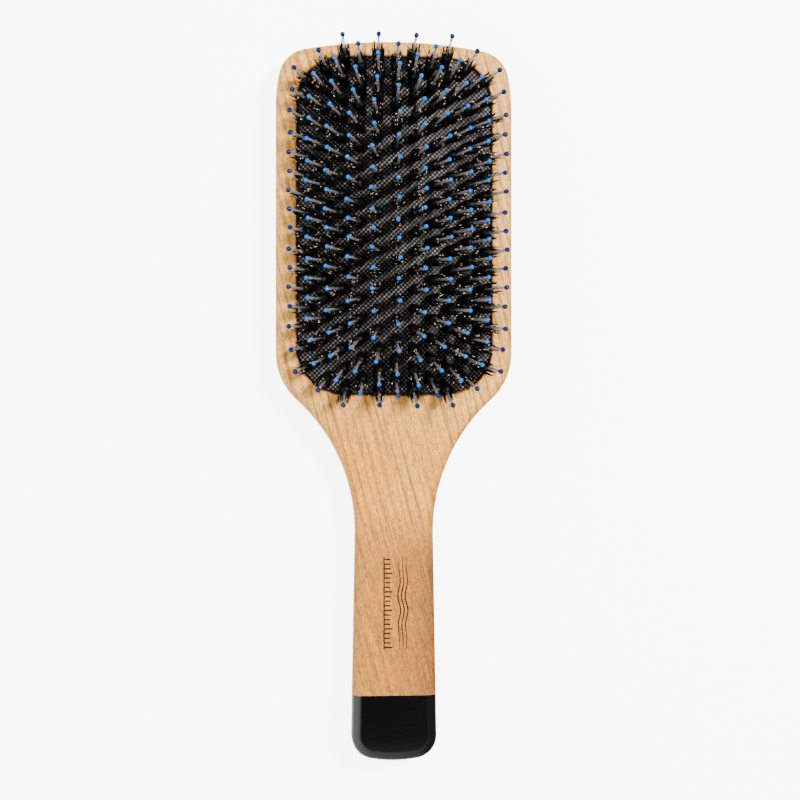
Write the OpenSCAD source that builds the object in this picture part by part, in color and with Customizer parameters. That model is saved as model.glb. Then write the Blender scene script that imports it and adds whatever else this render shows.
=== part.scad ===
// Paddle hairbrush: wooden board with a lacquered handle end and a domed rubber cushion,
// set with ball-tipped nylon pins that each stand in a tuft of natural bristle.
// Millimetres. The brush lies on its flat back: +Y to the head end, +X to the right, +Z up the pins.

/* [Board] */
// Length from the handle's end to the head's edge
board_l = 250; // [230:1:270]
// Width across the head
board_w = 82.3; // [78:0.1:90]
// Thickness
board_t = 14.5; // [12:0.5:18]
// Radius of the rounded edge round the face
face_r = 3.6; // [1:0.1:4]
// Radius of the rounded edge round the back
back_r = 5.5; // [2:0.1:6]
// Radius of the arched head end
head_arch_r = 170; // [120:5:400]
// Radius of the head's two upper shoulders
shoulder_r = 11; // [8:0.5:16]
// Radius that eases each shoulder into the side
side_r = 55; // [30:1:90]
// Angle at which the shoulder meets that easing radius
side_ease = 12; // [6:1:20]
// Radius of the head's two lower shoulders
hip_r = 22; // [16:0.5:30]
// Radius of the hollow sweep into the handle
neck_r = 62; // [50:1:80]
// Steepest angle of the neck
neck_angle = 47.8; // [40:0.1:55]

/* [Handle] */
// Widest part of the handle, near its end
handle_w = 29.6; // [26:0.1:34]
// Outward taper of each side of the handle
handle_taper = 1; // [0:0.1:3]
// Corner radius at the handle's end
heel_r = 8; // [5:0.5:12]
// Radius of the handle's rounded end
heel_arch_r = 45; // [30:1:80]
// Length of handle under black lacquer
dip_l = 23; // [10:0.5:40]
// Thickness of the lacquer coat
dip_t = 0.3; // [0.2:0.05:0.6]

/* [Cushion] */
// Width of the window routed in the face
window_w = 67.7; // [60:0.1:72]
// Length of the window
window_l = 117.3; // [100:0.1:125]
// Corner radius of the window
window_r = 16; // [10:0.5:24]
// Radius of the window's arched ends
window_arch_r = 450; // [200:10:800]
// Distance from the head's edge to the window
window_margin = 5.7; // [4:0.1:9]
// Depth of the ledge that carries the cushion
ledge_d = 3.5; // [2:0.1:5]
// Width of that ledge
ledge_w = 3; // [2:0.1:5]
// Depth of the air chamber's floor
chamber_d = 9.5; // [7:0.1:11]
// Height of the cushion's crown above its rim
dome_h = 8; // [4:0.1:11]
// Depth of the cushion's rim below the face
rim_d = 1.5; // [0.5:0.1:2.5]
// Thickness of the rubber
rubber_t = 1.8; // [1:0.1:2.5]
// Gap between the cushion's rim and the window
rim_gap = 0.25; // [0.1:0.05:0.5]

/* [Pins and bristle] */
// Columns of pins on each side of the middle one
side_columns = 5; // [3:1:6]
// Pins in the middle column
middle_rows = 17; // [11:2:19]
// Spacing of the columns
pitch_x = 5.6; // [5:0.1:7]
// Spacing of the pins along a column
pitch_y = 6.4; // [5:0.1:8]
// Height of a pin above the cushion
pin_h = 18.5; // [14:0.1:22]
// Radius of the pin's shaft
pin_r = 0.5; // [0.4:0.05:0.7]
// Radius of the ball tip
tip_r = 0.9; // [0.7:0.05:1.2]
// Radius of the pin's head under the cushion
head_r = 1.5; // [1:0.05:2]
// Thickness of that head
head_t = 0.5; // [0.3:0.05:1]
// Length of the bristle above the cushion
tuft_h = 11; // [6:0.1:14]
// Radius of the tuft where it leaves the cushion
tuft_root_r = 1.2; // [0.9:0.05:1.6]
// Radius of the tuft just above the cushion
tuft_base_r = 1.65; // [1.2:0.05:2]
// Radius of the tuft at its open end
tuft_end_r = 2.2; // [1.6:0.05:2.8]
// Length of the tuft's root below the surface
root_l = 3; // [2.5:0.1:4]
// Radius of the wire band round each root
band_wire_r = 0.22; // [0.18:0.01:0.3]
// Clearance of a tuft's root in its hole
hole_gap = 0.1; // [0.02:0.01:0.1]
// Farthest sideways lean of a pin's tip
lean_max = 8.7; // [0:0.1:12]
// How quickly the lean grows with the cushion's slope
lean_gain = 370; // [50:5:500]
// How much further pins lean to the sides than along the brush
lean_wide = 1.07; // [1:0.01:1.15]
// Uneven lean of single pins
lean_stray = 0.45; // [0:0.05:0.8]

/* [Ornament] */
// Length of the printed ornament on the handle
print_l = 32; // [20:1:40]
// Distance between its two rows
print_gap = 5.6; // [4:0.1:7]
// Distance from the handle's end to its middle
print_y = 55; // [40:1:70]
// Height of the ink above the face
print_t = 0.08; // [0.05:0.01:0.2]

/* [Hidden] */
ZONES = ["crown", "inner", "middle", "outer", "rim"];

fine = 48;                       // facets of a drawn circle
eps = 0.01;
y0 = -board_l / 2;               // the handle's end
face_z = board_t;
rim_z = face_z - rim_d;
ledge_z = face_z - ledge_d;
window_y = -y0 - window_margin - window_l / 2;
wood_colour = [0.80, 0.62, 0.40];
black_colour = [0.04, 0.04, 0.045];
rubber_colour = [0.06, 0.06, 0.06];
nylon_colour = [0.55, 0.55, 0.55, 0.7];
tip_colour = [0.22, 0.58, 0.93];
bristle_colour = [0.13, 0.10, 0.08];
wire_colour = [0.72, 0.72, 0.74];

// ---- Arc chains -------------------------------------------------------------------------------
// An arc is [centre, signed radius, first normal angle, last normal angle, steps]. The radius is
// negative where the edge is hollow. Shrinking every signed radius by e insets the edge by e.

function normal(a) = [cos(a), sin(a)];
function arc_points(arc, e, first) =
  [for (i = [first : arc[4]]) arc[0] + (arc[1] - e) * normal(arc[2] + (arc[3] - arc[2]) * i / arc[4])];
function next_centre(c, r, r_next, a) = c + (r - r_next) * normal(a);

// The board's right half, from the middle of the head round to the middle of the handle's end.
head_a = acos((board_w / 2 - side_r + (side_r - shoulder_r) * cos(side_ease)) / (head_arch_r - shoulder_r));
head_c = [0, y0 + board_l - head_arch_r];
shoulder_c = next_centre(head_c, head_arch_r, shoulder_r, head_a);
side_c = next_centre(shoulder_c, shoulder_r, side_r, side_ease);
heel_a = -acos((handle_w / 2 - heel_r) / (heel_arch_r - heel_r));
heel_arch_c = [0, y0 + heel_arch_r];
heel_c = next_centre(heel_arch_c, heel_arch_r, heel_r, heel_a);
// The neck's arc ends on the handle's straight side; its centre lies outside the board.
neck_sum = hip_r + neck_r;
hip_x = board_w / 2 - hip_r;
neck_x = hip_x + neck_sum * cos(neck_angle);
side_x = heel_c[0] + heel_r * cos(handle_taper);
neck_y = heel_c[1] + (side_x - neck_x + neck_r * cos(handle_taper)) / tan(handle_taper)
  + (neck_r + heel_r) * sin(handle_taper);
hip_c = [hip_x, neck_y + neck_sum * sin(neck_angle)];
neck_c = [neck_x, neck_y];

board_arcs = [
  [head_c, head_arch_r, 90, head_a, 5],
  [shoulder_c, shoulder_r, head_a, side_ease, 8],
  [side_c, side_r, side_ease, 0, 3],
  [hip_c, hip_r, 0, -neck_angle, 7],
  [neck_c, -neck_r, -neck_angle, handle_taper, 10],
  [heel_c, heel_r, handle_taper, heel_a, 9],
  [heel_arch_c, heel_arch_r, heel_a, -90, 4]];
// Arcs that start with their own point, because a straight run leads up to them.
function own_start(i) = (i == 0 || i == 3 || i == 5) ? 0 : 1;
function board_half(e) =
  [for (i = [0 : len(board_arcs) - 1]) each arc_points(board_arcs[i], e, own_start(i))];

// The window's right half, likewise.
window_a = acos((window_w / 2 - window_r) / (window_arch_r - window_r));
function window_half(e) =
  let(c = [0, window_l / 2 - window_arch_r],
      k = next_centre(c, window_arch_r, window_r, window_a))
  concat(
    arc_points([c, window_arch_r, 90, window_a, 4], e, 0),
    arc_points([k, window_r, window_a, 0, 8], e, 1),
    arc_points([[k[0], -k[1]], window_r, 0, -window_a, 8], e, 0),
    arc_points([-c, window_arch_r, -window_a, -90, 4], e, 1));

// A right half closed by its mirror image. The middle points are not repeated.
function closed(half) =
  let(n = len(half))
  concat(half, [for (i = [n - 2 : -1 : 1]) [-half[i][0], half[i][1]]]);

module window_prism(e, z, h) {
  translate([0, window_y, z])
    linear_extrude(height = h)
      polygon(closed(window_half(e)));
}

// ---- Board ------------------------------------------------------------------------------------
// Levels of the rounded edge, as [inset, height], for a board shrunk by s on every side.
back_steps = 5;
face_steps = 4;
function board_levels(s) = concat(
  [for (i = [0 : back_steps]) let(a = 90 * i / back_steps, r = back_r - s)
    [s + r * (1 - sin(a)), s + r * (1 - cos(a))]],
  [for (i = [0 : face_steps]) let(a = 90 * i / face_steps, r = face_r - s)
    [s + r * (1 - cos(a)), board_t - s - r * (1 - sin(a))]]);

// The whole board as rings of points, one ring a level, with its flat ends in level strips.
module board_solid(s = 0) {
  levels = board_levels(s);
  n_levels = len(levels);
  half_n = len(board_half(0));
  ring_n = 2 * half_n - 2;
  points = [for (l = levels) each [for (p = closed(board_half(l[0]))) [p[0], p[1], l[1]]]];
  // Index of the mirror image of half point i.
  function left(i) = (i == 0 || i == half_n - 1) ? i : ring_n - i;
  sides = [for (k = [0 : n_levels - 2]) for (i = [0 : ring_n - 1])
    let(a = k * ring_n + i, b = k * ring_n + (i + 1) % ring_n)
    each [[a, b, b + ring_n], [a, b + ring_n, a + ring_n]]];
  function strip(i, at, up) =
    let(q = [at + i, at + i + 1, at + left(i + 1), at + left(i)],
        f = i == 0 ? [q[0], q[1], q[2]] : (i == half_n - 2 ? [q[0], q[1], q[3]] : q))
    up ? f : [for (j = [len(f) - 1 : -1 : 0]) f[j]];
  ends = [for (i = [0 : half_n - 2]) each [strip(i, 0, false), strip(i, (n_levels - 1) * ring_n, true)]];
  polyhedron(points = points, faces = concat(sides, ends), convexity = 6);
}

module handle_end_box() {
  translate([-board_w, y0 - board_w, -board_t])
    cube([2 * board_w, board_w + dip_l, 3 * board_t]);
}

module wooden_board() {
  color(wood_colour)
    difference() {
      union() {
        difference() {
          board_solid();
          handle_end_box();
        }
        intersection() {
          board_solid(dip_t);
          translate([0, 0.5, 0])
            handle_end_box();
        }
      }
      window_prism(0, ledge_z, ledge_d + 1);
      window_prism(ledge_w, face_z - chamber_d, chamber_d);
    }
}

module handle_dip() {
  color(black_colour)
    difference() {
      intersection() {
        board_solid();
        handle_end_box();
      }
      board_solid(dip_t);
    }
}

// ---- Ornament ---------------------------------------------------------------------------------
// A ribbon of half width w that tapers to its ends along the curve x = f, y = t.
ribbon_steps = 36;
function ribbon(swing, phase, turns, w, l) =
  let(f = function(u) swing * sin(360 * turns * u + phase) * sin(180 * u),
      g = function(u) w * (0.25 + 0.75 * sin(180 * u)))
  concat(
    [for (i = [0 : ribbon_steps]) let(u = i / ribbon_steps) [f(u) + g(u), l * (u - 0.5)]],
    [for (i = [ribbon_steps : -1 : 0]) let(u = i / ribbon_steps) [f(u) - g(u), l * (u - 0.5)]]);

module handle_print() {
  color(black_colour)
    translate([0, y0 + print_y, face_z]) {
      // Three loose strands that never meet: each has a lane of its own.
      for (i = [0 : 2])
        translate([print_gap / 2 + (i - 1) * 1.25, 0, 0])
          linear_extrude(height = print_t)
            polygon(ribbon(0.5, 0, 3, 0.2, print_l));
      // A comb: a thin spine with short teeth.
      translate([-print_gap / 2 - 1.1, -print_l / 2, 0])
        cube([0.4, print_l, print_t]);
      for (i = [0 : 19])
        translate([-print_gap / 2 - 0.6, -print_l / 2 + (i + 0.3) * print_l / 20, 0])
          cube([i % 4 == 0 ? 2.6 : 1.9, 0.45, print_t]);
    }
}

// ---- Cushion ----------------------------------------------------------------------------------
// Height of the dome, from 1 at the crown to almost 0 at the rim, over the window's own centre.
dome_a = window_w / 2 + 0.65;
dome_b = window_l / 2 + 1.35;
dome_q = 3.7;
function dome(p) =
  (1 - pow(min(1, abs(p[0]) / dome_a), 2)) * (1 - pow(min(1, abs(p[1]) / dome_b), dome_q));
function dome_slope(p) =
  let(u = min(1, abs(p[0]) / dome_a), v = min(1, abs(p[1]) / dome_b))
  [sign(p[0]) * 2 * u / dome_a * (1 - pow(v, dome_q)),
   sign(p[1]) * dome_q * pow(v, dome_q - 1) / dome_b * (1 - u * u)];
function pad_z(p) = rim_z + dome_h * dome(p);

// Rings of the dome, as shares of the rim's outline from the middle out.
pad_rings = [0.16, 0.33, 0.5, 0.65, 0.78, 0.89, 0.96, 1];
under_rings = [1, 0.9, 0.78, 0.65, 0.5, 0.33, 0.16];

// The window's right half with more points down its straight side, for the dome's shape there.
side_steps = 7;
function rim_half(e) =
  let(h = window_half(e), m = len(h) / 2)
  concat(
    [for (i = [0 : m - 1]) h[i]],
    [for (j = [1 : side_steps - 1]) h[m - 1] + (h[m] - h[m - 1]) * j / side_steps],
    [for (i = [m : len(h) - 1]) h[i]]);

// A dome of even thickness with a foot all round that stands on the ledge.
module pad_solid() {
  rim = closed(rim_half(rim_gap));
  inner = closed(rim_half(rim_gap + ledge_w));
  n = len(rim);
  upper = [for (f = pad_rings) each [for (p = rim) [f * p[0], f * p[1], pad_z(f * p)]]];
  foot = [for (outline = [rim, inner]) each [for (p = outline) [p[0], p[1], ledge_z]]];
  under = [for (f = under_rings)
    each [for (p = inner) [f * p[0], f * p[1], pad_z(f * p) - rubber_t]]];
  points = concat([[0, 0, pad_z([0, 0])]], upper, foot, under, [[0, 0, pad_z([0, 0]) - rubber_t]]);
  bands = len(pad_rings) + 2 + len(under_rings);
  last = len(points) - 1;
  faces = concat(
    [for (i = [0 : n - 1]) [0, 1 + i, 1 + (i + 1) % n]],
    [for (k = [0 : bands - 2]) for (i = [0 : n - 1])
      let(a = 1 + k * n + i, b = 1 + k * n + (i + 1) % n)
      each [[a, a + n, b + n], [a, b + n, b]]],
    [for (i = [0 : n - 1]) [last, last - n + (i + 1) % n, last - n + i]]);
  polyhedron(points = points, faces = faces, convexity = 6);
}

module cushion_pad() {
  color(rubber_colour)
    translate([0, window_y, 0])
      difference() {
        pad_solid();
        for (s = sites)
          on_axis(s)
            translate([0, 0, -root_l - 1])
              cylinder(r = tuft_root_r + hole_gap, h = root_l + 4, $fn = fine);
      }
}

// ---- Pins and bristle ---------------------------------------------------------------------------
// A site is [column, row], both counted from the middle. Odd columns sit half a row off.
function rows(c) = abs(c) == side_columns ? middle_rows - 1 : middle_rows + abs(c) % 2;
sites = [for (c = [-side_columns : side_columns]) for (k = [0 : rows(c) - 1]) [c, k - (rows(c) - 1) / 2]];
function foot_of(s) = [pitch_x * s[0], pitch_y * s[1]];

// An even scatter from -1 to 1 for site s.
function scatter(s, a, b) = 2 * ((s[0] * a + s[1] * b + 100) % 1) - 1;
function stray(s) = lean_stray * [scatter(s, 0.7549, 0.5698), scatter(s, 0.3247, 0.8192)];
function lean(s) =
  let(d = dome_slope(foot_of(s)), m = norm(d), x = lean_gain * m / lean_max,
      t = lean_max * (exp(2 * x) - 1) / (exp(2 * x) + 1))
  (m > 0 ? t * [lean_wide * d[0], d[1]] / m : [0, 0]) + stray(s);

// Puts its children on the site's axis, with z = 0 on the cushion's outer surface.
module on_axis(s) {
  p = foot_of(s);
  v = lean(s);
  translate([p[0], p[1], pad_z(p)])
    rotate([0, 0, atan2(v[1], v[0])])
      rotate([0, asin(norm(v) / pin_h), 0])
        children();
}

// Zones by the dome's height at a site, so that each zone sinks by one share of the press.
zone_floor = [0.86, 0.70, 0.50, 0.32, 0];
function in_zone(s, z) =
  let(d = dome(foot_of(s)))
  d >= zone_floor[z] && (z == 0 || d < zone_floor[z - 1]);
function zone_sites(z) = [for (s = sites) if (in_zone(s, z)) s];

module in_place(z) {
  translate([0, window_y, 0])
    for (s = zone_sites(z))
      on_axis(s)
        children();
}

module pin_shafts(z) {
  color(nylon_colour)
    in_place(z) {
      translate([0, 0, -root_l - head_t])
        rotate_extrude($fn = fine)
          polygon([
            [0, 0], [head_r, 0], [head_r, head_t], [pin_r, head_t],
            [pin_r, root_l + head_t + pin_h - tip_r], [0, root_l + head_t + pin_h - tip_r]]);
    }
}

neck_l = 1.3;
module ball_tips(z) {
  color(tip_colour)
    in_place(z) {
      translate([0, 0, pin_h - tip_r])
        rotate_extrude($fn = fine)
          difference() {
            intersection() {
              union() {
                circle(r = tip_r, $fn = fine);
                polygon([[0, -tip_r - 0.7], [pin_r + 0.1, -tip_r - 0.7], [tip_r * 0.92, -0.3], [0, -0.3]]);
              }
              translate([0, -2 * tip_r])
                square([2 * tip_r, 4 * tip_r]);
            }
            translate([-1, -2 * tip_r])
              square([1 + pin_r, 2 * tip_r]);
          }
    }
}

module bristle_tufts(z) {
  color(bristle_colour)
    in_place(z)
      rotate_extrude($fn = fine)
        polygon([
          [pin_r, -root_l], [tuft_root_r, -root_l], [tuft_root_r, 0.75], [tuft_base_r, 1.6],
          [tuft_end_r, tuft_h - 1], [tuft_end_r * 0.75, tuft_h], [pin_r, tuft_h]]);
}

module root_bands(z) {
  color(wire_colour)
    in_place(z)
      translate([0, 0, -root_l + band_wire_r + 0.03])
        rotate_extrude($fn = fine)
          translate([tuft_root_r + band_wire_r + 0.02, 0])
            circle(r = band_wire_r, $fn = 24);
}

wooden_board();
handle_dip();
handle_print();
cushion_pad();
for (z = [0 : len(ZONES) - 1]) {
  pin_shafts(z);
  ball_tips(z);
  bristle_tufts(z);
  root_bands(z);
}
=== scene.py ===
"""Looks for the paddle hairbrush: maple board, lacquered handle end, rubber cushion, pins and bristle."""
import math

import bmesh
import bpy
import numpy as np
from mathutils import Matrix, Vector
from mathutils.geometry import tessellate_polygon


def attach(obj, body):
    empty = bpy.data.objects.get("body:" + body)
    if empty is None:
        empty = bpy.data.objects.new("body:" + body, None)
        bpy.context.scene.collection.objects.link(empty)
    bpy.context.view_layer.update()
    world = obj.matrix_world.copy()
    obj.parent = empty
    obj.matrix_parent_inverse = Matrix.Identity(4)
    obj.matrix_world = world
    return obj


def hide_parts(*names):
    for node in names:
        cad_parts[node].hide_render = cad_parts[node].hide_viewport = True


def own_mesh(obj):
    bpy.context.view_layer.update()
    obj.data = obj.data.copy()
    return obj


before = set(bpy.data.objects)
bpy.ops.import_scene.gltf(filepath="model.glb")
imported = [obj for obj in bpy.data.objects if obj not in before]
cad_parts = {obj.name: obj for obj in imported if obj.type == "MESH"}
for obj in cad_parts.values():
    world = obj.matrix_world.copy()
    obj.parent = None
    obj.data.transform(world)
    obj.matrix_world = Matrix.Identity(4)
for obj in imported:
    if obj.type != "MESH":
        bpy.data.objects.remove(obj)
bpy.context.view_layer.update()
MM = 0.001
rng = np.random.default_rng(7)

# ---- Sizes of the brush, in millimetres and degrees, as in the part's own source ---------------------
BOARD_L, BOARD_W, BOARD_T = 250.0, 82.3, 14.5
FACE_R, BACK_R = 3.6, 5.5
HEAD_ARCH_R, SHOULDER_R, SIDE_R, SIDE_EASE = 170.0, 11.0, 55.0, 12.0
HIP_R, NECK_R, NECK_ANGLE = 22.0, 62.0, 47.8
HANDLE_W, HANDLE_TAPER, HEEL_R, HEEL_ARCH_R = 29.6, 1.0, 8.0, 45.0
DIP_L = 23.0
WINDOW_W, WINDOW_L, WINDOW_R, WINDOW_ARCH_R, WINDOW_MARGIN = 67.7, 117.3, 16.0, 450.0, 5.7
LEDGE_D, LEDGE_W, CHAMBER_D = 3.5, 3.0, 9.5
DOME_H, RIM_D, RUBBER_T, RIM_GAP = 8.0, 1.5, 1.8, 0.25
DOME_OVER_X, DOME_OVER_Y, DOME_POWER = 0.65, 1.35, 3.7
SIDE_COLUMNS, MIDDLE_ROWS, PITCH_X, PITCH_Y = 5, 17, 5.6, 6.4
PIN_H, PIN_R, TIP_R, HEAD_R, HEAD_T = 18.5, 0.5, 0.9, 1.5, 0.5
TUFT_H, TUFT_ROOT_R, TUFT_END_R, ROOT_L = 11.0, 1.2, 2.2, 3.0
LEAN_MAX, LEAN_GAIN, LEAN_STRAY, LEAN_WIDE = 8.7, 370.0, 0.45, 1.07
STRAY_X, STRAY_Y = (0.7549, 0.5698), (0.3247, 0.8192)
ZONES = ["crown", "inner", "middle", "outer", "rim"]
ZONE_FLOOR = [0.86, 0.70, 0.50, 0.32, 0.0]

HANDLE_END_Y = -BOARD_L / 2
RIM_Z = BOARD_T - RIM_D
LEDGE_Z = BOARD_T - LEDGE_D
WINDOW_Y = -HANDLE_END_Y - WINDOW_MARGIN - WINDOW_L / 2
DOME_A, DOME_B = WINDOW_W / 2 + DOME_OVER_X, WINDOW_L / 2 + DOME_OVER_Y

# ---- Sizes that only the looks have, in millimetres --------------------------------------------------
# Longest edges along the outlines, and steps round the rounded edges.
BOARD_STEP, WINDOW_STEP = 0.8, 0.6
BACK_STEPS, FACE_STEPS, LIP_STEPS = 14, 12, 4
# The window's softened edge, and the flat strip round it.
LIP_R, LIP_LAND = 0.45, 0.2
# The rubber's dots: spacing, grid cells to each, depth, and the strip inside the rim where they fade out.
DOT_PERIOD, DOT_CELLS, DOT_D, DOT_FADE = 1.12, 5, 0.20, 1.2
# The skin's rounded rim: width, depth, and how nearly it turns upright.
ROLL_W, ROLL_D, ROLL_TURN = 1.0, 0.5, 0.96
# The skin's edge below the rim, the flat skirt under it, and the least height of the underside above that.
EDGE_D, SKIRT_D, UNDER_GAP = 0.4, 0.45, 0.05
UNDER_SHARES = (1.0, 0.9, 0.78, 0.65, 0.5, 0.33, 0.16)
SKIRT_Z = RIM_Z - SKIRT_D
# The foot's clearance from the ledge, from the skirt and from the ledge's inner edge.
FOOT_LIFT, FOOT_GAP, FOOT_SET_IN = 0.02, 0.03, 0.3
# Pins: edges of the head, taper of the shaft, how far it goes into the bead, its rings and its slight bow.
HEAD_BEVEL, HEAD_FILLET, PIN_TAPER, PIN_IN_BEAD, PIN_POINT, PIN_SIDES = 0.12, 0.1, 0.16, 0.4, 0.2, 12
SHAFT_RINGS = (0.2, 0.4, 0.55, 0.7, 0.85, 1.0)
BOW_OUT, BOW_OUT_STRAY, BOW_SIDE_STRAY = 0.10, 0.12, 0.10
# Beads: radius, how much bigger past the rim, over what distance that changes, and how drawn out they are.
BEAD_R, BEAD_R_MORE, BEAD_BLEND, BEAD_DRAWN, BEAD_STEPS, BEAD_SIDES = 0.76, 0.11, 1.2, 0.28, 12, 18
# Bristle: strands and clumps in a tuft, and how far a steeply leaning tuft's ends sweep outwards.
STRANDS, CLUMPS, SWEEP, SWEEP_FULL_LEAN, GOLDEN_ANGLE = 170, 12, 1.5, 0.42, 2.39996
STRAND_CUTS, STRAND_SIDES, STRAND_SUNK = 6, 3, 0.5
STRAND_R, STRAND_THIN, FLAG_THIN = (0.10, 0.14), 0.55, 0.05
# How far a strand's end follows its clump and its own seat, and strays, and how wild ones stray.
CLUMP_PULL, SEAT_PULL, END_STRAY, WILD_STRAY, WILD_SHARE = 0.96, 0.13, 0.08, 0.75, 0.12
# Uneven lengths, and the curve of a strand on its way to its end.
TUFT_OVER, CLUMP_UNEVEN, STRAND_UNEVEN = 1.06, 0.20, 0.10
STRAND_EASE, STRAND_BEND, STRAND_BELLY = 0.8, 0.10, 0.22
# Strands of a higher tone than this, from 0 to 1, have a pale split end.
FLAG_TONE = 0.89
# Radius and height along the solid heart that stands for the strands hidden inside a tuft.
TUFT_CORE = [(0, -0.5), (1.05, -0.5), (1.25, 0.4), (1.55, 1.8), (1.75, 5.0), (1.6, 6.8), (0, 7.6)]
CORE_SIDES = 14


# ---- Mesh helpers ------------------------------------------------------------------------------------
def mesh_object(name, points, faces, material, smooth=True):
    """An object from points in millimetres and a list of arrays of faces, each array of one face size."""
    mesh = bpy.data.meshes.new(name)
    points = np.asarray(points, float) * MM
    mesh.vertices.add(len(points))
    mesh.vertices.foreach_set("co", points.astype(np.float32).ravel())
    sizes = np.concatenate([np.full(len(f), f.shape[1]) for f in faces])
    corners = np.concatenate([f.ravel() for f in faces])
    mesh.loops.add(len(corners))
    mesh.loops.foreach_set("vertex_index", corners.astype(np.int32))
    mesh.polygons.add(len(sizes))
    starts = np.concatenate([[0], np.cumsum(sizes)[:-1]])
    mesh.polygons.foreach_set("loop_start", starts.astype(np.int32))
    mesh.update(calc_edges=True)
    mesh.validate()
    mesh.polygons.foreach_set("use_smooth", np.full(len(mesh.polygons), smooth))
    mesh.materials.append(material)
    obj = bpy.data.objects.new(name, mesh)
    bpy.context.scene.collection.objects.link(obj)
    return obj


def put_attribute(obj, name, values):
    """A number for each point of a mesh, which its material reads by name."""
    attribute = obj.data.attributes.new(name, "FLOAT", "POINT")
    attribute.data.foreach_set("value", np.asarray(values, np.float32))


def ring_faces(first, second, n):
    """Quads between two closed rings of n points that start at those indices."""
    i = np.arange(n)
    j = (i + 1) % n
    return np.stack([first + i, first + j, second + j, second + i], 1)


def flat_faces(points, loops, starts, up):
    """Triangles that fill flat loops, wound to face up or down. starts are the loops' first indices."""
    tris = tessellate_polygon([[Vector((p[0], p[1], 0)) for p in loop] for loop in loops])
    index = np.concatenate([np.arange(len(loop)) + s for loop, s in zip(loops, starts)])
    out = []
    for t in tris:
        t = [int(index[i]) for i in t]
        a, b, c = points[t[0]], points[t[1]], points[t[2]]
        turn = (b[0] - a[0]) * (c[1] - a[1]) - (b[1] - a[1]) * (c[0] - a[0])
        out.append(t if (turn > 0) == up else t[::-1])
    return np.array(out)


# ---- Outlines, as chains of arcs ---------------------------------------------------------------------
# An arc is (centre, radius, first angle, last angle, whether to skip its first point). The radius is
# negative where the edge is hollow. Shrinking every radius by an inset moves the edge in by that much.
def normal(degrees):
    a = math.radians(degrees)
    return np.array([math.cos(a), math.sin(a)])


def next_centre(centre, radius, next_radius, angle):
    """The centre of the arc that carries on smoothly from another one at that angle."""
    return centre + (radius - next_radius) * normal(angle)


def arc_points(arcs, inset, step):
    """Points along a chain of arcs. Every edge on the uninset arcs is at most step long."""
    points = []
    for centre, radius, first, last, skip in arcs:
        n = max(2, int(math.ceil(abs(radius) * math.radians(abs(last - first)) / step)))
        points += [centre + (radius - inset) * normal(first + (last - first) * i / n)
                   for i in range(1 if skip else 0, n + 1)]
    return points


def board_half(inset):
    """The board's right half, from the middle of the head round to the middle of the handle's end."""
    head_x = BOARD_W / 2 - SIDE_R + (SIDE_R - SHOULDER_R) * math.cos(math.radians(SIDE_EASE))
    head_a = math.degrees(math.acos(head_x / (HEAD_ARCH_R - SHOULDER_R)))
    head_c = np.array([0, HANDLE_END_Y + BOARD_L - HEAD_ARCH_R])
    shoulder_c = next_centre(head_c, HEAD_ARCH_R, SHOULDER_R, head_a)
    side_c = next_centre(shoulder_c, SHOULDER_R, SIDE_R, SIDE_EASE)
    heel_a = -math.degrees(math.acos((HANDLE_W / 2 - HEEL_R) / (HEEL_ARCH_R - HEEL_R)))
    heel_arch_c = np.array([0, HANDLE_END_Y + HEEL_ARCH_R])
    heel_c = next_centre(heel_arch_c, HEEL_ARCH_R, HEEL_R, heel_a)
    taper, slope = math.radians(HANDLE_TAPER), math.radians(NECK_ANGLE)
    hip_x = BOARD_W / 2 - HIP_R
    neck_x = hip_x + (HIP_R + NECK_R) * math.cos(slope)
    side_x = heel_c[0] + HEEL_R * math.cos(taper)
    neck_y = (heel_c[1] + (side_x - neck_x + NECK_R * math.cos(taper)) / math.tan(taper)
              + (NECK_R + HEEL_R) * math.sin(taper))
    hip_c = np.array([hip_x, neck_y + (HIP_R + NECK_R) * math.sin(slope)])
    neck_c = np.array([neck_x, neck_y])
    arcs = [(head_c, HEAD_ARCH_R, 90, head_a, False),
            (shoulder_c, SHOULDER_R, head_a, SIDE_EASE, True),
            (side_c, SIDE_R, SIDE_EASE, 0, True),
            (hip_c, HIP_R, 0, -NECK_ANGLE, False),
            (neck_c, -NECK_R, -NECK_ANGLE, HANDLE_TAPER, True),
            (heel_c, HEEL_R, HANDLE_TAPER, heel_a, False),
            (heel_arch_c, HEEL_ARCH_R, heel_a, -90, True)]
    return arc_points(arcs, inset, BOARD_STEP)


def window_half(inset):
    """The window's right half, about the window's own middle."""
    corner_a = math.degrees(math.acos((WINDOW_W / 2 - WINDOW_R) / (WINDOW_ARCH_R - WINDOW_R)))
    arch_c = np.array([0, WINDOW_L / 2 - WINDOW_ARCH_R])
    corner_c = next_centre(arch_c, WINDOW_ARCH_R, WINDOW_R, corner_a)
    low_corner_c, low_arch_c = np.array([corner_c[0], -corner_c[1]]), -arch_c
    arcs = [(arch_c, WINDOW_ARCH_R, 90, corner_a, False),
            (corner_c, WINDOW_R, corner_a, 0, True),
            (low_corner_c, WINDOW_R, 0, -corner_a, False),
            (low_arch_c, WINDOW_ARCH_R, -corner_a, -90, True)]
    return arc_points(arcs, inset, WINDOW_STEP)


def closed(half):
    """A right half with its mirror image. The two middle points are not repeated."""
    half = np.array(half)
    return np.vstack([half, half[-2:0:-1] * [-1, 1]])


def raised(outline, z, dy=0.0):
    return np.column_stack([outline[:, 0], outline[:, 1] + dy, np.full(len(outline), z)])


def quarter(steps):
    """The sine and cosine at each step of a quarter turn."""
    turns = [math.pi / 2 * i / steps for i in range(steps + 1)]
    return [(math.sin(a), math.cos(a)) for a in turns]


# ---- Cushion and pin field ---------------------------------------------------------------------------
def dome(x, y):
    """The dome's height as a share of its crown's. x and y are from the window's middle."""
    u = np.minimum(1, np.abs(x) / DOME_A)
    v = np.minimum(1, np.abs(y) / DOME_B)
    return (1 - u ** 2) * (1 - v ** DOME_POWER)


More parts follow.
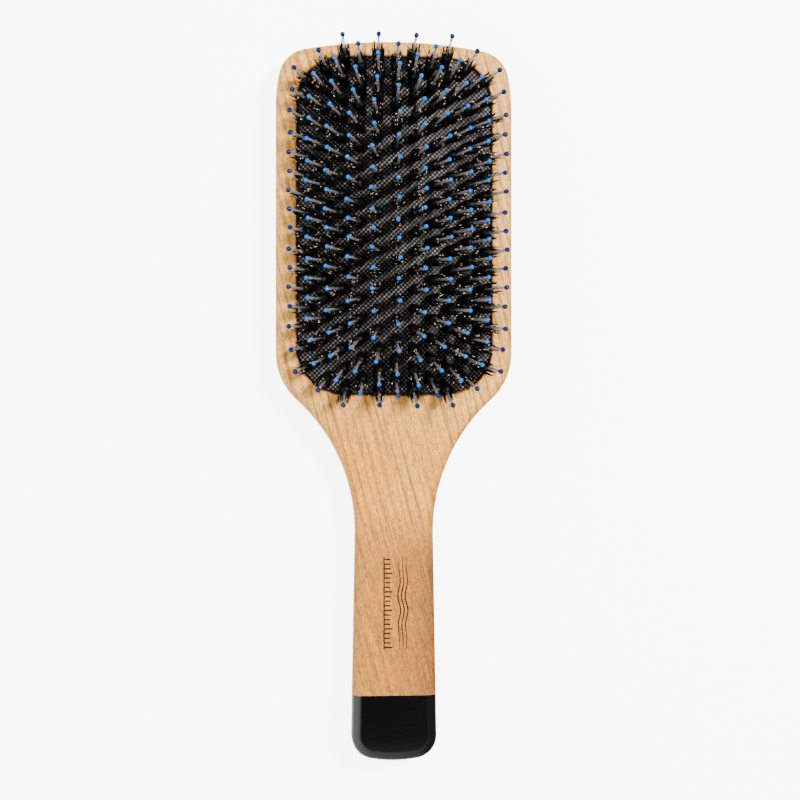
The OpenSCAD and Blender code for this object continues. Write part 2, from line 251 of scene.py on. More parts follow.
def pad_z(x, y):
    return RIM_Z + DOME_H * dome(x, y)


def dome_slope(x, y):
    """How fast dome() falls along x and along y."""
    u, v = min(1, abs(x) / DOME_A), min(1, abs(y) / DOME_B)
    return np.array([np.sign(x) * 2 * u / DOME_A * (1 - v ** DOME_POWER),
                     np.sign(y) * DOME_POWER * v ** (DOME_POWER - 1) / DOME_B * (1 - u * u)])


def scatter(c, r, a, b):
    """A number from -1 to 1 that looks random, as in the part's own source."""
    return 2 * math.fmod(c * a + r * b + 100, 1) - 1


class Site:
    """One pin with its tuft: its foot on the rubber, its axis and two directions across the axis."""

    def __init__(self, column, row):
        x, y = PITCH_X * column, PITCH_Y * row
        slope = dome_slope(x, y)
        steep = float(np.linalg.norm(slope))
        lean = LEAN_STRAY * np.array([scatter(column, row, *STRAY_X), scatter(column, row, *STRAY_Y)])
        if steep > 0:
            reach = LEAN_MAX * math.tanh(LEAN_GAIN * steep / LEAN_MAX)
            lean = reach * slope / steep * [LEAN_WIDE, 1] + lean
        side = float(np.linalg.norm(lean)) / PIN_H
        out = lean / max(1e-9, float(np.linalg.norm(lean)))
        self.foot = np.array([x, y + WINDOW_Y, pad_z(x, y)])
        self.axis = np.array([out[0] * side, out[1] * side, math.sqrt(1 - side * side)])
        self.across = np.array([out[0] * self.axis[2], out[1] * self.axis[2], -side])
        self.along = np.cross(self.axis, self.across)
        share = float(dome(x, y))
        self.zone = next(z for z, floor in enumerate(ZONE_FLOOR) if share >= floor)

    def at(self, a, b, w):
        """Points a across, b along and w up the axis."""
        a, b, w = np.asarray(a)[..., None], np.asarray(b)[..., None], np.asarray(w)[..., None]
        return self.foot + a * self.across + b * self.along + w * self.axis


def rows(column):
    return MIDDLE_ROWS - 1 if abs(column) == SIDE_COLUMNS else MIDDLE_ROWS + abs(column) % 2


sites = [Site(column, k - (rows(column) - 1) / 2)
         for column in range(-SIDE_COLUMNS, SIDE_COLUMNS + 1) for k in range(rows(column))]


# ---- Materials ---------------------------------------------------------------------------------------
class Nodes:
    """A small builder for one node tree."""

    def __init__(self, tree):
        self.tree = tree

    def node(self, kind, **settings):
        n = self.tree.nodes.new(kind)
        for key, value in settings.items():
            setattr(n, key, value)
        return n

    def link(self, a, b):
        self.tree.links.new(a, b)

    def put(self, socket, value):
        """Sets a socket to a number or colour, or joins it to another socket."""
        if isinstance(value, bpy.types.NodeSocket):
            self.link(value, socket)
        else:
            socket.default_value = value

    def maths(self, kind, *values):
        n = self.node("ShaderNodeMath", operation=kind)
        for socket, value in zip(n.inputs, values):
            self.put(socket, value)
        return n.outputs[0]

    def fade(self, value, start, end, low=0.0, high=1.0):
        """A smooth step from low at start to high at end."""
        n = self.node("ShaderNodeMapRange", interpolation_type="SMOOTHSTEP")
        self.link(value, n.inputs[0])
        for socket, number in zip(n.inputs[1:5], (start, end, low, high)):
            socket.default_value = number
        return n.outputs[0]

    def parts(self, vector):
        """The x, y and z of a vector."""
        n = self.node("ShaderNodeSeparateXYZ")
        self.link(vector, n.inputs[0])
        return list(n.outputs)


class Shader(Nodes):
    """A builder for one procedural material."""

    def __init__(self, name):
        self.material = bpy.data.materials.new(name)
        self.material.use_nodes = True
        super().__init__(self.material.node_tree)
        self.tree.nodes.clear()
        self.out = self.node("ShaderNodeOutputMaterial")
        self.bsdf = self.node("ShaderNodeBsdfPrincipled")
        self.link(self.bsdf.outputs[0], self.out.inputs[0])

    def coords(self, density=(1, 1, 1), turn=0):
        """The place on the brush, times a density along x, y and z, turned by degrees about z."""
        c = self.node("ShaderNodeTexCoord")
        m = self.node("ShaderNodeMapping", vector_type="TEXTURE")
        self.link(c.outputs["Object"], m.inputs["Vector"])
        m.inputs["Scale"].default_value = tuple(1 / k for k in density)
        m.inputs["Rotation"].default_value = (0, 0, math.radians(turn))
        return m.outputs[0]

    def noise(self, vector, scale=1.0, detail=2, rough=0.5, distortion=0.0):
        n = self.node("ShaderNodeTexNoise")
        self.link(vector, n.inputs["Vector"])
        n.inputs["Scale"].default_value = scale
        n.inputs["Detail"].default_value = detail
        n.inputs["Roughness"].default_value = rough
        n.inputs["Distortion"].default_value = distortion
        return n.outputs["Fac"]

    def bands(self, vector, distortion, detail, detail_scale, detail_rough):
        n = self.node("ShaderNodeTexWave", wave_type="BANDS", bands_direction="X", wave_profile="SIN")
        self.link(vector, n.inputs["Vector"])
        n.inputs["Scale"].default_value = 1.0
        n.inputs["Distortion"].default_value = distortion
        n.inputs["Detail"].default_value = detail
        n.inputs["Detail Scale"].default_value = detail_scale
        n.inputs["Detail Roughness"].default_value = detail_rough
        return n.outputs["Fac"]

    def ramp(self, value, *stops):
        """stops are (position, grey) or (position, (r, g, b))."""
        n = self.node("ShaderNodeValToRGB")
        self.link(value, n.inputs[0])
        elements = n.color_ramp.elements
        for i, (pos, col) in enumerate(stops):
            e = elements[i] if i < 2 else elements.new(pos)
            e.position = pos
            e.color = (col, col, col, 1) if isinstance(col, (int, float)) else (*col, 1)
        return n.outputs[0]

    def mix(self, kind, factor, a, b):
        """Mixes b into a. Either may be a socket or (r, g, b)."""
        n = self.node("ShaderNodeMix", data_type="RGBA", blend_type=kind)
        self.put(n.inputs[0], factor)
        self.put(n.inputs[6], (*a, 1) if isinstance(a, tuple) else a)
        self.put(n.inputs[7], (*b, 1) if isinstance(b, tuple) else b)
        return n.outputs[2]

    def attribute(self, name):
        return self.node("ShaderNodeAttribute", attribute_name=name).outputs["Fac"]

    def bump(self, height, distance, strength):
        n = self.node("ShaderNodeBump")
        n.inputs["Strength"].default_value = strength
        n.inputs["Distance"].default_value = distance
        self.link(height, n.inputs["Height"])
        return n.outputs[0]

    def set(self, **values):
        """Sets the surface's sockets by name, with _ for each space, and returns the material."""
        for name, value in values.items():
            self.put(self.bsdf.inputs[name.replace("_", " ")], value)
        return self.material


def maple_ground(s, slant):
    """The wood's broad colour: palest on the head, darker down the handle and darkest at its right."""
    pale, honey, head_tone, handle_dark_tone = ((0.98, 0.435, 0.050), (0.94, 0.365, 0.034), (1.0, 0.51, 0.118),
                                          (0.33, 0.132, 0.022))
    x, y, _ = s.parts(s.coords())
    to_right = s.fade(x, -0.004, 0.015)
    down = s.fade(y, -0.030, -0.060)
    head = s.fade(y, -0.022, 0.005)
    broad = s.noise(s.coords((85, 7, 85), slant), detail=3, rough=0.5, distortion=0.6)
    ground = s.ramp(broad, (0.34, pale), (0.68, honey))
    ground = s.mix("MIX", s.maths("MULTIPLY", head, 0.80), ground, head_tone)
    # Darker down the handle, and more so towards its right.
    handle_darkening = s.maths("MULTIPLY", s.maths("MULTIPLY", to_right, down), 0.48)
    handle_darkening = s.maths("ADD", handle_darkening, s.maths("MULTIPLY", down, 0.56))
    return s.mix("MIX", handle_darkening, ground, handle_dark_tone), down


def maple():
    """Satin maple: growth lines and fibre on a slant, over a fine speckle, a mottle across it and pores."""
    amber, pore_tone, routed_tone = (0.54, 0.170, 0.020), (0.50, 0.24, 0.12), (0.34, 0.115, 0.025)
    upright, slant, across = 4, 15, -35
    s = Shader("maple_satin")
    ground, down = maple_ground(s, slant)
    streak = s.noise(s.coords((300, 12, 300), slant), detail=5, rough=0.6, distortion=1.1)
    fibre = s.noise(s.coords((1300, 45, 1300), slant), detail=4, rough=0.7, distortion=0.3)
    speck = s.noise(s.coords((2100, 800, 2100), upright), detail=2, rough=0.7)
    mottle = s.noise(s.coords((420, 150, 420), across), detail=3, rough=0.55, distortion=0.8)
    pores = s.noise(s.coords((1900, 300, 1900), upright), detail=2, rough=0.4)
    rings = s.bands(s.coords((110, 7, 110), slant), distortion=7.0, detail=3.0, detail_scale=1.3,
                    detail_rough=0.6)
    broken = s.ramp(streak, (0.36, 0.25), (0.56, 1.0))
    lines = s.maths("MULTIPLY", s.ramp(rings, (0.66, 0.0), (0.88, 1.0)), broken)
    strength = s.maths("MULTIPLY_ADD", down, 0.05, 0.80)
    wood = s.mix("MIX", s.maths("MULTIPLY", lines, strength), ground, amber)
    wood = s.mix("MULTIPLY", 0.80, wood, s.ramp(fibre, (0.34, 0.55), (0.56, 1.0)))
    wood = s.mix("MULTIPLY", 0.90, wood, s.ramp(speck, (0.32, 0.40), (0.60, 1.0)))
    wood = s.mix("MULTIPLY", 0.50, wood, s.ramp(mottle, (0.34, 0.74), (0.58, 1.0)))
    dark_pores = s.maths("MULTIPLY", s.ramp(pores, (0.68, 0.0), (0.73, 1.0)), 0.30)
    wood = s.mix("MULTIPLY", dark_pores, wood, pore_tone)
    wood = s.mix("MIX", s.attribute("routed"), wood, routed_tone)
    grain = s.maths("ADD", s.maths("MULTIPLY", fibre, 0.7), s.maths("MULTIPLY", streak, 0.3))
    return s.set(Base_Color=wood, Roughness=s.ramp(fibre, (0.3, 0.58), (0.7, 0.46)), Specular_IOR_Level=0.25,
                 Normal=s.bump(grain, 0.00010, 0.7))


def lacquer():
    s = Shader("black_lacquer")
    peel = s.noise(s.coords(), scale=900, detail=2, rough=0.4)
    dust = s.noise(s.coords(), scale=5200, detail=2, rough=0.5)
    return s.set(Base_Color=(0.0016, 0.0014, 0.0015, 1), Roughness=s.ramp(dust, (0.35, 0.10), (0.75, 0.20)),
                 Specular_IOR_Level=0.42, Normal=s.bump(peel, 0.00003, 0.3))


def rubber():
    """Black rubber whose dots, on two diagonals, are grey on top: partly wear and partly a painted highlight
    for their glints.
    """
    pit_tone, dot_wear_and_highlight_tone = (0.0004, 0.0004, 0.0003), (0.340, 0.314, 0.301)
    s = Shader("dotted_rubber")
    x, y, _ = s.parts(s.coords())
    k = 2 * math.pi / (DOT_PERIOD * MM) / math.sqrt(2)
    across = s.maths("COSINE", s.maths("MULTIPLY", s.maths("ADD", x, y), k))
    along = s.maths("COSINE", s.maths("MULTIPLY", s.maths("SUBTRACT", x, y), k))
    height = s.maths("MULTIPLY_ADD", s.maths("ADD", across, along), 0.25, 0.5)
    worn = s.noise(s.coords(), scale=90, detail=4, rough=0.6)
    fine = s.noise(s.coords(), scale=1500, detail=3, rough=0.7)
    # The dots' grey tops are partly wear and partly painted highlight; the pits between them keep the
    # rubber's black.
    tone = s.mix("MIX", s.ramp(height, (0.48, 0.0), (0.78, 1.0)), pit_tone, dot_wear_and_highlight_tone)
    tone = s.mix("MULTIPLY", 0.75, tone, s.ramp(worn, (0.36, 0.16), (0.64, 1.0)))
    tone = s.mix("MULTIPLY", 0.90, tone, s.ramp(fine, (0.42, 0.12), (0.66, 1.0)))
    relief = s.maths("ADD", height, s.maths("MULTIPLY", fine, 0.25))
    return s.set(Base_Color=tone, Roughness=s.ramp(fine, (0.3, 0.42), (0.7, 0.62)), Specular_IOR_Level=0.08,
                 Normal=s.bump(relief, 0.00012, 0.6))


def nylon():
    s = Shader("grey_nylon")
    cloud = s.noise(s.coords(), scale=700, detail=3, rough=0.5)
    scuff = s.noise(s.coords(), scale=4000, detail=2, rough=0.5)
    tone = s.ramp(cloud, (0.3, (0.34, 0.34, 0.40)), (0.7, (0.52, 0.52, 0.58)))
    return s.set(Base_Color=tone, Roughness=s.ramp(scuff, (0.3, 0.22), (0.7, 0.36)), Transmission_Weight=0.84,
                 IOR=1.5, Normal=s.bump(scuff, 0.00001, 0.3))


def bead():
    """Glossy blue, deeper on the beads that hang past the cushion's rim."""
    over_rubber, over_wood = (0.0002, 0.110, 0.42), (0.0003, 0.0075, 0.070)
    s = Shader("blue_bead")
    cloud = s.noise(s.coords(), scale=1500, detail=2, rough=0.5)
    peel = s.noise(s.coords(), scale=2600, detail=2, rough=0.5)
    tone = s.mix("MIX", s.attribute("rim"), over_rubber, over_wood)
    tone = s.mix("MULTIPLY", 0.35, tone, s.ramp(cloud, (0.3, 0.7), (0.7, 1.0)))
    return s.set(Base_Color=tone, Roughness=0.3, Specular_IOR_Level=0.0, Coat_Weight=0.40,
                 Coat_Roughness=0.03, Normal=s.bump(peel, 0.00002, 0.3))


def bristle():
    """Dark hair. Strands whose tone is above FLAG_TONE have a pale split end."""
    s = Shader("boar_bristle")
    along, tone = s.attribute("along"), s.attribute("tone")
    dark = s.ramp(tone, (0.0, (0.0008, 0.0007, 0.0006)), (0.8, (0.0030, 0.0023, 0.0018)),
                  (1.0, (0.012, 0.008, 0.005)))
    flag = s.ramp(tone, (FLAG_TONE, (0.004, 0.003, 0.0025)), (FLAG_TONE + 0.01, (0.60, 0.40, 0.25)),
                  (1.0, (1.0, 0.84, 0.66)))
    colour = s.mix("MIX", s.ramp(along, (0.945, 0.0), (0.965, 1.0)), dark, flag)
    return s.set(Base_Color=colour, Roughness=0.45, Specular_IOR_Level=0.12)


def ink():
    s = Shader("black_ink")
    wear = s.noise(s.coords(), scale=6000, detail=3, rough=0.6)
    tone = s.ramp(wear, (0.3, (0.001, 0.001, 0.001)), (0.8, (0.004, 0.003, 0.003)))
    return s.set(Base_Color=tone, Roughness=0.6, Specular_IOR_Level=0.1, Normal=s.bump(wear, 0.00001, 0.3))


def wire():
    s = Shader("drawn_wire")
    draw = s.noise(s.coords(), scale=8000, detail=2, rough=0.5)
    rough = s.ramp(draw, (0.3, 0.25), (0.7, 0.4))
    return s.set(Base_Color=(0.62, 0.62, 0.63, 1), Metallic=1.0, Roughness=rough)


def floor_white():
    s = Shader("floor_white")
    return s.set(Base_Color=(0.86, 0.86, 0.86, 1), Roughness=0.9, Specular_IOR_Level=0.0,
                 Emission_Color=(1, 1, 1, 1), Emission_Strength=6.5)


MAPLE, LACQUER, RUBBER, NYLON = maple(), lacquer(), rubber(), nylon()
BEAD, BRISTLE, INK, WIRE, FLOOR = bead(), bristle(), ink(), wire(), floor_white()


# ---- Board and lacquered end -------------------------------------------------------------------------
def board_mesh():
    """The routed board as one closed skin: back, rounded edges, face, window, ledge and chamber."""
    levels = [(BACK_R * (1 - sin), BACK_R * (1 - cos)) for sin, cos in quarter(BACK_STEPS)]
    levels += [(FACE_R * (1 - cos), BOARD_T - FACE_R * (1 - sin)) for sin, cos in quarter(FACE_STEPS)]
    floor_z = BOARD_T - CHAMBER_D
    inner = [(-LIP_R - LIP_LAND, BOARD_T)]
    inner += [(-LIP_R * (1 - sin), BOARD_T - LIP_R * (1 - cos)) for sin, cos in quarter(LIP_STEPS)]
    inner += [(0.0, LEDGE_Z), (LEDGE_W, LEDGE_Z), (LEDGE_W, floor_z)]
    rings = [raised(closed(board_half(e)), z) for e, z in levels]
    wells = [raised(closed(window_half(e)), z, WINDOW_Y) for e, z in inner]
    n, m = len(rings[0]), len(wells[0])
    points = np.vstack(rings + wells)
    well_at = len(rings) * n
    quads = [ring_faces(k * n, (k + 1) * n, n) for k in range(len(rings) - 1)]
    quads += [ring_faces(well_at + (k + 1) * m, well_at + k * m, m) for k in range(len(wells) - 1)]
    # The outline runs clockwise seen from above, so the rings face inwards until they are turned.
    quads = [q[:, ::-1] for q in quads]
    top_at, floor_at = (len(rings) - 1) * n, well_at + (len(wells) - 1) * m
    tris = [flat_faces(points, [rings[0]], [0], False),
            flat_faces(points, [rings[-1], wells[0]], [top_at, well_at], True),
            flat_faces(points, [wells[-1]], [floor_at], True)]
    routed = np.zeros(len(points))
    routed[well_at + m:] = 1
    return points, quads + tris, routed


def keep_side(obj, y, above):
    """Cuts the mesh at that y in millimetres, keeps one side and closes the cut."""
    bm = bmesh.new()
    bm.from_mesh(obj.data)
    geometry = bm.verts[:] + bm.edges[:] + bm.faces[:]
    cut = bmesh.ops.bisect_plane(bm, geom=geometry, plane_co=(0, y * MM, 0), plane_no=(0, 1, 0),
                                 clear_inner=above, clear_outer=not above)
    edges = [g for g in cut["geom_cut"] if isinstance(g, bmesh.types.BMEdge)]
    bmesh.ops.contextual_create(bm, geom=edges)
    bm.to_mesh(obj.data)
    bm.free()
    obj.data.set_sharp_from_angle(angle=math.radians(35))


def repaint(name, material):
    """A new material for a node that keeps its CAD mesh."""
    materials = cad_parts[name].data.materials
    materials.clear()
    materials.append(material)


board_points, board_faces, board_routed = board_mesh()
board = mesh_object("board_maple", board_points, board_faces, MAPLE)
put_attribute(board, "routed", board_routed)
keep_side(board, HANDLE_END_Y + DIP_L, True)
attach(board, "board")
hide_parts("wooden_board")

dip = mesh_object("handle_lacquer", board_points, board_faces, LACQUER)
keep_side(dip, HANDLE_END_Y + DIP_L, False)
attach(dip, "board")
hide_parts("handle_dip")

repaint("handle_print", INK)
for zone in ZONES:
    repaint("root_bands_" + zone, WIRE)


# ---- Cushion -----------------------------------------------------------------------------------------
def outside(x, y):
    """How far a point is outside the cushion's rim, and the direction straight out."""
    a, b, r = WINDOW_W / 2 - RIM_GAP, WINDOW_L / 2 - RIM_GAP, WINDOW_R - RIM_GAP
    arched_y = np.abs(y) + x * x / (2 * WINDOW_ARCH_R)
    qx, qy = np.abs(x) - (a - r), arched_y - (b - r)
    hx, hy = np.maximum(qx, 0), np.maximum(qy, 0)
    corner = np.hypot(hx, hy)
    far = corner + np.minimum(np.maximum(qx, qy), 0) - r
    safe = np.maximum(corner, 1e-9)
    out_x = np.where(corner > 0, hx / safe, (qx > qy) * 1.0)
    out_y = np.where(corner > 0, hy / safe, (qx <= qy) * 1.0)
    return far, out_x * np.sign(x), out_y * np.sign(y)


def dots(x, y):
    """The height of the rubber's dots, from 0 between them to 1 on their tops."""
    k = 2 * math.pi / DOT_PERIOD / math.sqrt(2)
    return 0.5 + 0.25 * (np.cos(k * (x + y)) + np.cos(k * (x - y)))


def cushion_skin():
    """The dotted upper skin on a fine grid that ends exactly on the rim."""
    step = DOT_PERIOD / DOT_CELLS
    nx, ny = int(WINDOW_W / 2 / step) + 2, int(WINDOW_L / 2 / step) + 2
    x, y = np.meshgrid(np.arange(-nx, nx + 1) * step, np.arange(-ny, ny + 1) * step, indexing="ij")
    far, out_x, out_y = outside(x, y)
    inside = far <= 0
    cell = inside[:-1, :-1] | inside[1:, :-1] | inside[:-1, 1:] | inside[1:, 1:]
    push = np.maximum(far, 0)
    x, y = x - push * out_x, y - push * out_y
    depth = np.clip(-far, 0, None)
    roll = np.clip(1 - depth / ROLL_W, 0, 1)
    z = (pad_z(x, y) + DOT_D * (dots(x, y) - 1) * np.clip(depth / DOT_FADE, 0, 1)
         - ROLL_D * (1 - np.sqrt(1 - ROLL_TURN * roll ** 2)))
    used = np.zeros(x.shape, bool)
    for di in (0, 1):
        for dj in (0, 1):
            used[di:di + cell.shape[0], dj:dj + cell.shape[1]] |= cell
    number = np.full(x.shape, -1)
    number[used] = np.arange(used.sum())
    i, j = np.nonzero(cell)
    quads = np.stack([number[i, j], number[i + 1, j], number[i + 1, j + 1], number[i, j + 1]], 1)
    return np.column_stack([x[used], y[used] + WINDOW_Y, z[used]]), quads


def cushion_mesh():
    """The domed skin, closed below so that little of it is under the level that the squash leaves alone."""
    top, quads = cushion_skin()
    rim, inner = closed(window_half(RIM_GAP)), closed(window_half(RIM_GAP + LEDGE_W))
    n = len(rim)
    edge = np.column_stack([rim, pad_z(rim[:, 0], rim[:, 1]) - EDGE_D])
    rings = [edge, raised(rim, SKIRT_Z), raised(inner, SKIRT_Z)]
    for share in UNDER_SHARES:
        under = pad_z(share * inner[:, 0], share * inner[:, 1]) - RUBBER_T
        rings.append(np.column_stack([share * inner, np.maximum(under, SKIRT_Z + UNDER_GAP)]))
    rings = [r + [0, WINDOW_Y, 0] for r in rings]
    at = len(top)
    points = np.vstack([top] + rings + [[[0, WINDOW_Y, RIM_Z + DOME_H - RUBBER_T]]])
    walls = [ring_faces(at + k * n, at + (k + 1) * n, n)[:, ::-1] for k in range(len(rings) - 1)]
    last = at + (len(rings) - 1) * n
    i = np.arange(n)
    middle = np.stack([last + i, np.full(n, len(points) - 1), last + (i + 1) % n], 1)
    return points, [quads] + walls + [middle]


def foot_mesh():
    """The rubber's foot, which stands on the ledge all round and doesn't move."""
    low, high = LEDGE_Z + FOOT_LIFT, SKIRT_Z - FOOT_GAP
    rim, inner = closed(window_half(RIM_GAP)), closed(window_half(RIM_GAP + LEDGE_W - FOOT_SET_IN))
    rings = [raised(rim, low, WINDOW_Y), raised(rim, high, WINDOW_Y), raised(inner, high, WINDOW_Y),
             raised(inner, low, WINDOW_Y)]
    n = len(rim)
    return np.vstack(rings), [ring_faces(k * n, (k + 1) % 4 * n, n) for k in range(4)]


cushion_points, cushion_faces = cushion_mesh()
cushion = mesh_object("cushion_rubber", cushion_points, cushion_faces, RUBBER)
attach(cushion, "board")
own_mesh(cushion)
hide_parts("cushion_pad")

foot_points, foot_faces = foot_mesh()
foot = mesh_object("cushion_foot", foot_points, foot_faces, RUBBER, False)
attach(foot, "board")
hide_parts("cushion_pad")


# ---- Pins, beads and bristle -------------------------------------------------------------------------
class Batch:
    """Points, faces and attributes gathered from many small solids of one piece."""

    def __init__(self):
        self.points, self.faces, self.attributes, self.count = [], [], {}, 0

    def add(self, points, faces, **attributes):
        self.points.append(points)
        self.faces += [f + self.count for f in faces]
        self.count += len(points)
        for name, values in attributes.items():
            self.attributes.setdefault(name, []).append(np.broadcast_to(values, len(points)))

    def build(self, name, material):
        by_size = {}
        for f in self.faces:
            by_size.setdefault(f.shape[1], []).append(f)
        obj = mesh_object(name, np.vstack(self.points), [np.vstack(f) for f in by_size.values()], material)
        for key, values in self.attributes.items():
            put_attribute(obj, key, np.concatenate(values))
        return obj


def lathe(profile, sides):
    """A turned solid for (radius, height) pairs, closed at both ends by a point on the axis."""
    a = np.arange(sides) * 2 * math.pi / sides
    cos, sin = np.cos(a), np.sin(a)
    body = profile[1:-1]
    u = np.concatenate([[0]] + [r * cos for r, _ in body] + [[0]])
    v = np.concatenate([[0]] + [r * sin for r, _ in body] + [[0]])
    w = np.concatenate([[profile[0][1]]] + [np.full(sides, h) for _, h in body] + [[profile[-1][1]]])
    i = np.arange(sides)
    j = (i + 1) % sides
    last = 1 + (len(body) - 1) * sides
    faces = [np.stack([np.zeros(sides, int), 1 + j, 1 + i], 1)]
    faces += [ring_faces(1 + k * sides, 1 + (k + 1) * sides, sides) for k in range(len(body) - 1)]
    faces.append(np.stack([last + i, last + j, np.full(sides, len(u) - 1)], 1))
    return u, v, w, faces


def pin(site, batch):
    """A head under the rubber, and a tapered and slightly bowed shaft that ends inside its bead."""
    top = PIN_H - 2 * TIP_R + PIN_IN_BEAD
    low = -ROOT_L - HEAD_T
    profile = [(0, low), (HEAD_R - HEAD_BEVEL, low), (HEAD_R, low + HEAD_BEVEL),
               (HEAD_R, low + HEAD_T - HEAD_BEVEL), (HEAD_R - HEAD_BEVEL, low + HEAD_T),
               (PIN_R, low + HEAD_T + HEAD_FILLET), (PIN_R, 0)]
    profile += [(PIN_R * (1 - PIN_TAPER * t), top * t) for t in SHAFT_RINGS]
    profile.append((0, top + PIN_POINT))
    u, v, w, faces = lathe(profile, PIN_SIDES)
    bow_u, bow_v = rng.normal(BOW_OUT, BOW_OUT_STRAY), rng.normal(0, BOW_SIDE_STRAY)
    swing = np.sin(np.pi * np.clip(w / PIN_H, 0, 1))
    batch.add(site.at(u + bow_u * swing, v + bow_v * swing, w), faces)


def ball(site, batch):
    """A dipped bead: round at the end and drawn out a little along the pin."""
    x, y = site.at(0, 0, PIN_H)[0:2] - [0, WINDOW_Y]
    past_rim = min(1.0, max(0.0, float(outside(np.array(x), np.array(y))[0]) / BEAD_BLEND))
    centre = PIN_H - TIP_R
    radius = BEAD_R + BEAD_R_MORE * past_rim
    profile = [(0, centre + radius)]
    for k in range(1, BEAD_STEPS):
        a = math.pi * k / BEAD_STEPS
        stretch = 1 + BEAD_DRAWN * max(0, -math.cos(a)) ** 2
        profile.append((radius * math.sin(a), centre + radius * math.cos(a) * stretch))
    profile.append((0, centre - radius * (1 + BEAD_DRAWN)))
    u, v, w, faces = lathe(profile[::-1], BEAD_SIDES)
    batch.add(site.at(u, v, w), faces, rim=past_rim)


def clumps():
    """Where a tuft's clumps end, in tuft radii, and how long each is as a share of the tuft."""
    k = np.arange(CLUMPS)
    r = np.sqrt((k + 0.5) / CLUMPS) * rng.uniform(0.85, 1.1, CLUMPS)
    a = k * GOLDEN_ANGLE + rng.uniform(0, 2 * np.pi) + rng.normal(0, 0.2, CLUMPS)
    length = 1 - rng.uniform(0, CLUMP_UNEVEN, CLUMPS) - 0.05 * r
    return np.stack([r * np.cos(a), r * np.sin(a)], 1), length


def strands(site):
    """For each strand, its seat in root radii, and its end and length in millimetres."""
    clump, clump_length = clumps()
    spread, turn = np.sqrt(rng.uniform(0, 1, STRANDS)), rng.uniform(0, 2 * np.pi, STRANDS)
    seat = np.stack([spread * np.cos(turn), spread * np.sin(turn)], 1)
    mine = ((seat[:, None] - clump[None]) ** 2).sum(-1).argmin(1)
    end = TUFT_END_R * (CLUMP_PULL * clump[mine] + SEAT_PULL * seat) + rng.normal(0, END_STRAY, (STRANDS, 2))
    wild = rng.uniform(0, 1, STRANDS) < WILD_SHARE
    end += wild[:, None] * rng.normal(0, WILD_STRAY, (STRANDS, 2))
    steep = min(1.0, -site.across[2] / SWEEP_FULL_LEAN) ** 2
    end[:, 0] += SWEEP * steep * rng.uniform(0.2, 1.5, CLUMPS)[mine]
    share = clump_length[mine] - rng.uniform(0, STRAND_UNEVEN, STRANDS) + wild * STRAND_UNEVEN
    return seat, end, TUFT_OVER * TUFT_H * np.minimum(1, share)


def strand_faces():
    """Quads round every strand of a tuft, and a triangle over each one's end."""
    first = np.arange(STRANDS) * STRAND_CUTS * STRAND_SIDES
    ring = first[:, None, None] + np.arange(STRAND_CUTS - 1)[None, :, None] * STRAND_SIDES
    i = np.arange(STRAND_SIDES)[None, None, :]
    j = (i + 1) % STRAND_SIDES
    quads = np.stack([ring + i, ring + j, ring + STRAND_SIDES + j, ring + STRAND_SIDES + i], -1)
    ends = (first + (STRAND_CUTS - 1) * STRAND_SIDES)[:, None] + np.arange(STRAND_SIDES)[None, :]
    return [quads.reshape(-1, 4), ends]


def tuft(site, batch):
    """Separate tapered bristles that gather into small clumps, splay from the root and end unevenly."""
    seat, end, length = strands(site)
    bend = rng.normal(0, STRAND_BEND, (STRANDS, 2))
    shade = rng.uniform(0, 1, STRANDS)
    thick = rng.uniform(*STRAND_R, STRANDS)
    thin = np.where(shade > FLAG_TONE, FLAG_THIN, STRAND_THIN)
    t = np.linspace(0, 1, STRAND_CUTS)
    ease = (t ** STRAND_EASE)[None, :, None]
    belly = np.sin(np.pi * t)[None, :, None]
    middle = TUFT_ROOT_R * seat[:, None, :] * (1 - ease) + end[:, None, :] * ease
    middle = middle + belly * (bend[:, None, :] + STRAND_BELLY * seat[:, None, :])
    height = -STRAND_SUNK + (length[:, None] + STRAND_SUNK) * t[None, :]
    radius = (thick[:, None] * (1 - thin[:, None] * t[None, :] ** 2))[:, :, None]
    a = np.arange(STRAND_SIDES) * 2 * math.pi / STRAND_SIDES
    phase = rng.uniform(0, 2 * np.pi, STRANDS)[:, None, None]
    u = middle[:, :, 0, None] + radius * np.cos(a + phase)
    v = middle[:, :, 1, None] + radius * np.sin(a + phase)
    w = np.broadcast_to(height[:, :, None], u.shape)
    along = np.broadcast_to(t[None, :, None], u.shape).ravel()
    tone = np.broadcast_to(shade[:, None, None], u.shape).ravel()
    batch.add(site.at(u.ravel(), v.ravel(), w.ravel()), strand_faces(), along=along, tone=tone)
    u, v, w, faces = lathe(TUFT_CORE, CORE_SIDES)
    batch.add(site.at(u, v, w), faces, along=0.3, tone=0.0)


for z, zone in enumerate(ZONES):
    pins, balls, tufts = Batch(), Batch(), Batch()
    for site in (s for s in sites if s.zone == z):
        pin(site, pins)
        ball(site, balls)
        tuft(site, tufts)
    for batch, name, material, node, slot in ((pins, "nylon_pins_", NYLON, "pin_shafts_", "nylon"),
                                              (balls, "blue_beads_", BEAD, "ball_tips_", "blue_tip"),
                                              (tufts, "boar_bristle_", BRISTLE, "bristle_tufts_", "bristle")):
        piece = batch.build(name + zone, material)
        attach(piece, "pins_" + zone)
        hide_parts(node + zone)


# ---- Studio: in metres and watts, apart from the camera's millimetres --------------------------------
FLOOR_REACH, FLOOR_DROP = 40.0, 0.0003
KEY_AZIMUTH, KEY_HEIGHT, KEY_DISTANCE = math.radians(33), math.radians(57), 1.1
KEY_SIZE, KEY_POWER, KEY_COLOUR = 0.24, 32, (1.0, 0.985, 0.96)
# How bright the world's walls are: in the middle, to the right and away, and at least.
WALL_LEVEL, WALL_TO_RIGHT, WALL_AWAY, WALL_LEAST = 1.55, -2.35, -0.10, 0.3
# The camera is a little left of the brush. SPAN is the view's width at SPAN_AT from its eye.
SENSOR, SPAN, SPAN_AT = 36.0, 277.6, 540.2
EYE, AIM = Vector((-35.5, -1.4, 552.1)), Vector((2.12, 0.29, 10.0))


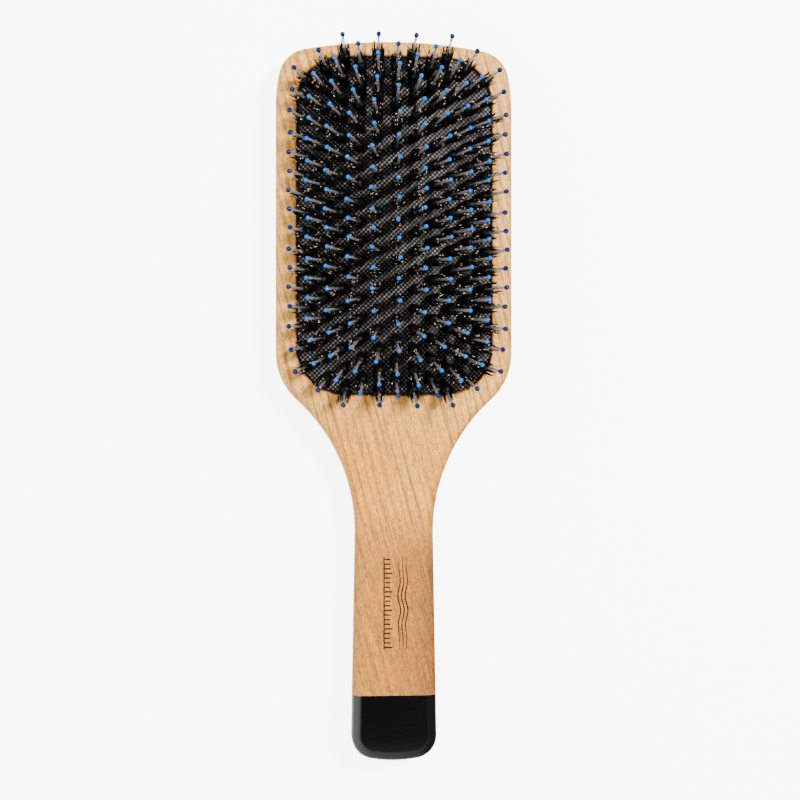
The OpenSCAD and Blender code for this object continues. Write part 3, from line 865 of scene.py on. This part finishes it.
def plain_floor():
    """A plain white floor, just under the brush, that lights nothing and isn't mirrored in anything."""
    mesh = bpy.data.meshes.new("floor")
    r = FLOOR_REACH
    mesh.from_pydata([(-r, -r, 0), (r, -r, 0), (r, r, 0), (-r, r, 0)], [], [(0, 1, 2, 3)])
    mesh.materials.append(FLOOR)
    obj = bpy.data.objects.new("floor", mesh)
    obj.location.z = -FLOOR_DROP
    obj.visible_diffuse = False
    obj.visible_glossy = False
    bpy.context.scene.collection.objects.link(obj)
    return obj


def key_light():
    """One square lamp, to the right, at the head end and above."""
    data = bpy.data.lights.new("key", "AREA")
    data.shape = "RECTANGLE"
    data.size, data.size_y = KEY_SIZE, KEY_SIZE
    data.energy = KEY_POWER
    data.color = KEY_COLOUR
    obj = bpy.data.objects.new("key", data)
    bpy.context.scene.collection.objects.link(obj)
    level = math.cos(KEY_HEIGHT) * KEY_DISTANCE
    obj.location = (math.cos(KEY_AZIMUTH) * level, math.sin(KEY_AZIMUTH) * level,
                    math.sin(KEY_HEIGHT) * KEY_DISTANCE)
    obj.rotation_euler = (-Vector(obj.location)).to_track_quat("-Z", "Y").to_euler()


def studio_world():
    """A dark ceiling over pale walls: a broad soft fill on the left and a dim wall on the right."""
    world = bpy.data.worlds.new("studio")
    bpy.context.scene.world = world
    world.use_nodes = True
    sky = Nodes(world.node_tree)
    x, y, z = sky.parts(sky.node("ShaderNodeTexCoord").outputs["Generated"])
    walls = sky.maths("MULTIPLY_ADD", y, WALL_AWAY, WALL_LEVEL)
    walls = sky.maths("MAXIMUM", sky.maths("MULTIPLY_ADD", x, WALL_TO_RIGHT, walls), WALL_LEAST)
    ceiling = sky.fade(sky.maths("MULTIPLY_ADD", y, 0.22, z), 0.78, 0.95, 1.0, 0.025)
    skirting = sky.fade(z, -0.1, 0.4, 0.75, 1.0)
    background = sky.tree.nodes["Background"]
    background.inputs[0].default_value = (1, 1, 1, 1)
    sky.link(sky.maths("MULTIPLY", sky.maths("MULTIPLY", walls, ceiling), skirting), background.inputs[1])


def studio_camera():
    data = bpy.data.cameras.new("camera")
    data.sensor_width = SENSOR
    data.lens = SENSOR * SPAN_AT / SPAN
    data.clip_start = 0.01
    obj = bpy.data.objects.new("camera", data)
    ahead = (AIM - EYE).normalized()
    right = ahead.cross(Vector((0, 1, 0))).normalized()
    obj.matrix_world = Matrix((right, right.cross(ahead), -ahead)).transposed().to_4x4()
    obj.location = EYE * MM
    bpy.context.scene.collection.objects.link(obj)
    return obj


floor = plain_floor()
key_light()
studio_world()
bpy.context.scene.camera = studio_camera()
